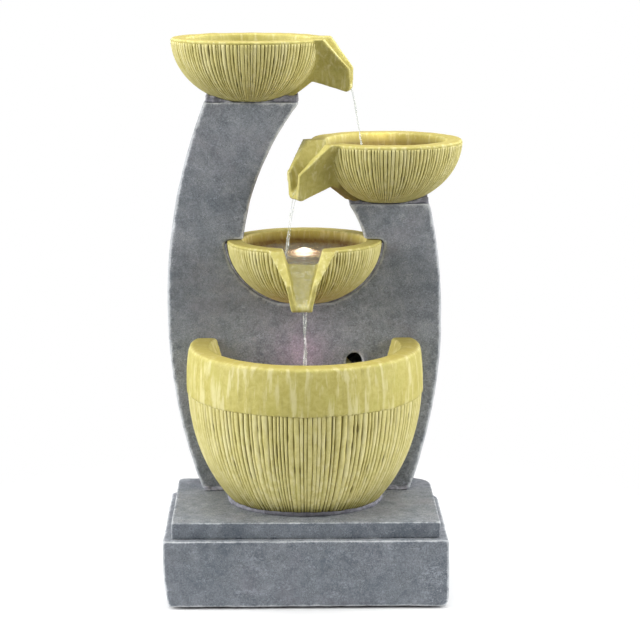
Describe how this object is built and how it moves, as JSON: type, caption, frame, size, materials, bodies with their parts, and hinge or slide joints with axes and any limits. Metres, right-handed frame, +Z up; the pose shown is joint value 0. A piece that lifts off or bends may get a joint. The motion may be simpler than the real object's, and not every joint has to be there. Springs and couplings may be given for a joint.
{
  "type": "tabletop water fountain",
  "caption": "Cascading tabletop fountain: hollow two-horned panel on a stepped plinth, ribbed bowls with V spouts over a large ribbed basin with a pump.",
  "frame": {"origin": "centre of the underside, on the surface that the fountain stands on", "axes": "+Z up, the basin and the front face -Y, the top bowl is on the -X side"},
  "size_m": [0.2884, 0.2422, 0.527],
  "materials": {
    "grey_casting": "matt dry-brushed cast resin, slate grey with pale worn edges",
    "olive_casting": "matt cast resin, olive yellow with darker grooves and pale worn edges",
    "cement": "rough grey cement",
    "base_board": "fine textured board",
    "pad_foam": "matt foam rubber",
    "steel": "satin stainless",
    "brass_insert": "turned",
    "hatch_plastic": "fine spark-eroded texture",
    "pump_plastic": "satin black moulding",
    "chamber_plastic": "satin dark grey moulding",
    "rotor": "smooth white moulding",
    "shaft_ceramic": "ground",
    "black_rubber": "matt",
    "hose_vinyl": "clear vinyl with an olive tint",
    "fitting_plastic": "satin black moulding",
    "light_body": "smooth white moulding",
    "warm_lens": "emissive warm white dome",
    "violet_lens": "emissive pink violet dome",
    "lead_jacket": "satin black jacket"
  },
  "bodies": {
    "root": {"plinth_block": "grey_casting", "plinth_step": "grey_casting", "base_plate": "base_board", "base_pad": "pad_foam", "base_screws": "steel", "back_panel": "grey_casting", "panel_rear": "grey_casting", "panel_bolts": "steel", "panel_inserts": "brass_insert", "panel_foot_beads": "cement", "top_bowl": "olive_casting", "second_bowl": "olive_casting", "middle_bowl": "olive_casting", "basin": "olive_casting", "top_bowl_bed": "cement", "second_bowl_bed": "cement", "middle_bowl_grout": "cement", "basin_collar": "cement", "pump_body": "pump_plastic", "pump_chamber": "chamber_plastic", "impeller_shaft": "shaft_ceramic", "shaft_bushes": "black_rubber", "suction_feet": "black_rubber", "delivery_hose": "hose_vinyl", "hose_clips": "steel", "top_nozzle": "fitting_plastic", "nozzle_seal": "black_rubber", "nozzle_nut": "fitting_plastic", "second_bowl_light": "light_body", "second_light_lens": "warm_lens", "second_light_grommet": "black_rubber", "middle_bowl_light": "light_body", "middle_light_lens": "warm_lens", "middle_light_grommet": "black_rubber", "basin_light": "fitting_plastic", "basin_light_lens": "violet_lens", "basin_light_nut": "fitting_plastic", "second_light_lead": "lead_jacket", "middle_light_lead": "lead_jacket", "basin_light_lead": "lead_jacket", "pump_lead": "lead_jacket", "power_lead": "lead_jacket", "junction_box": "pump_plastic", "power_jack": "fitting_plastic", "jack_nut": "steel"},
    "rotor": {"impeller": "rotor"},
    "strainer": {"pump_strainer": "pump_plastic"},
    "dial": {"flow_dial": "chamber_plastic"},
    "hatch": {"access_hatch": "hatch_plastic"}
  },
  "joints": [
    {"name": "impeller_spin", "type": "hinge", "parent": "root", "child": "rotor", "pos_m": [0.014, -0.008, 0.12], "axis": [0, 1, 0], "continuous": true},
    {"name": "strainer_pull", "type": "slide", "parent": "root", "child": "strainer", "axis": [0, -1, 0], "range_m": [0, 0.03]},
    {"name": "flow_dial_turn", "type": "hinge", "parent": "strainer", "child": "dial", "pos_m": [0.014, -0.029, 0.12], "axis": [0, -1, 0], "range_deg": [0, 90]},
    {"name": "hatch_pull", "type": "slide", "parent": "root", "child": "hatch", "axis": [0, 1, 0], "range_m": [0, 0.05]}
  ]
}
